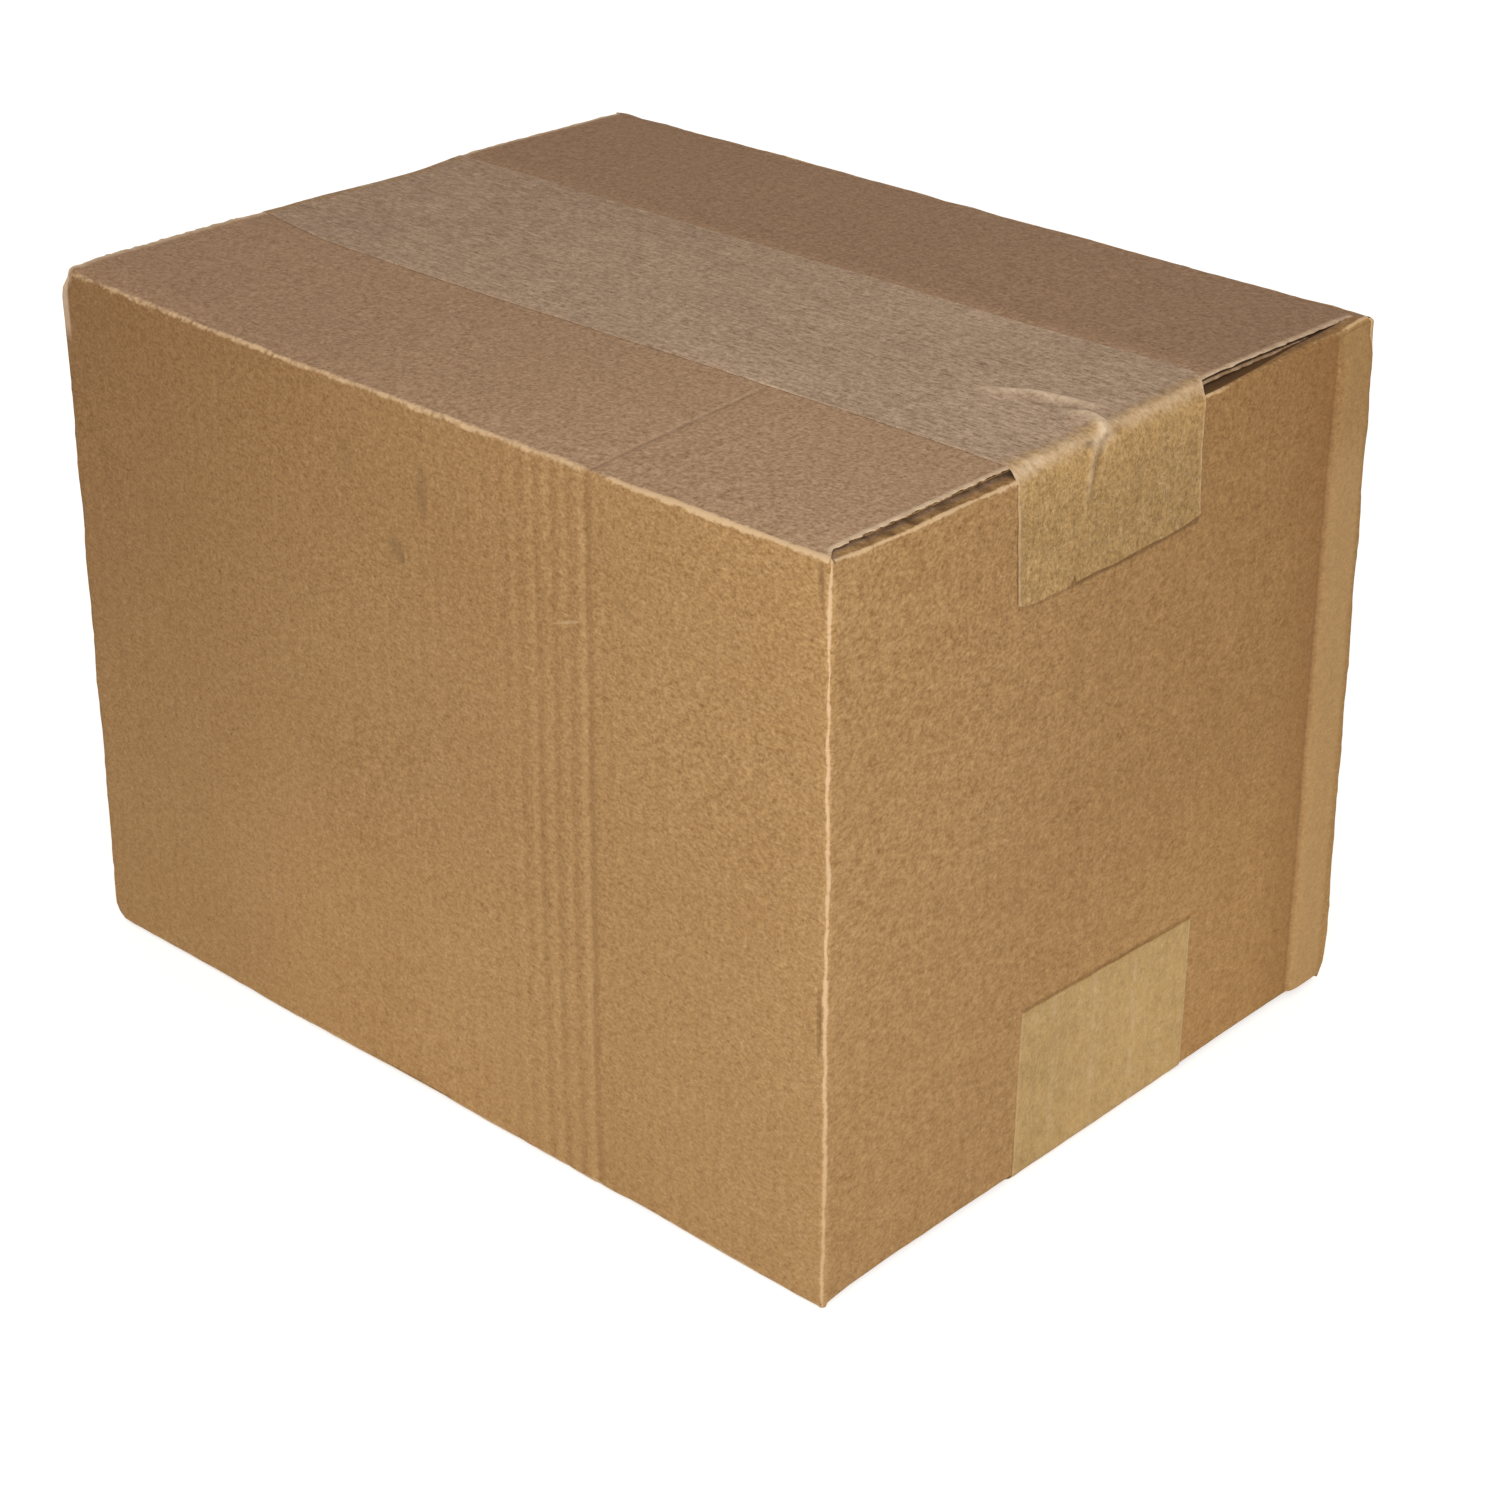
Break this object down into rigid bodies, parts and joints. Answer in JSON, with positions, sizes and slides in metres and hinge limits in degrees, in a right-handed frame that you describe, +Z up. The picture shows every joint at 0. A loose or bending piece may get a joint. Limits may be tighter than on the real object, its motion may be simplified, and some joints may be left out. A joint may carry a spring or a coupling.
{
  "type": "closed cardboard box",
  "caption": "Closed corrugated cardboard carton with flaps folded in and sealed by paper tape over its top and bottom seams.",
  "frame": {"origin": "middle of the footprint of the four walls, on the underside of the bottom tape that the carton stands on", "axes": "+Z up, +X along the long walls towards the end with the glue tab, -Y out of the long wall with the pressed lines"},
  "size_m": [0.3019, 0.23, 0.2187],
  "materials": {
    "kraft_board": "matt brown kraft liner",
    "paper_tape": "matt gummed kraft paper tape"
  },
  "bodies": {
    "root": {"carton": "kraft_board", "top_tape": "paper_tape", "bottom_tape": "paper_tape"}
  },
  "joints": []
}
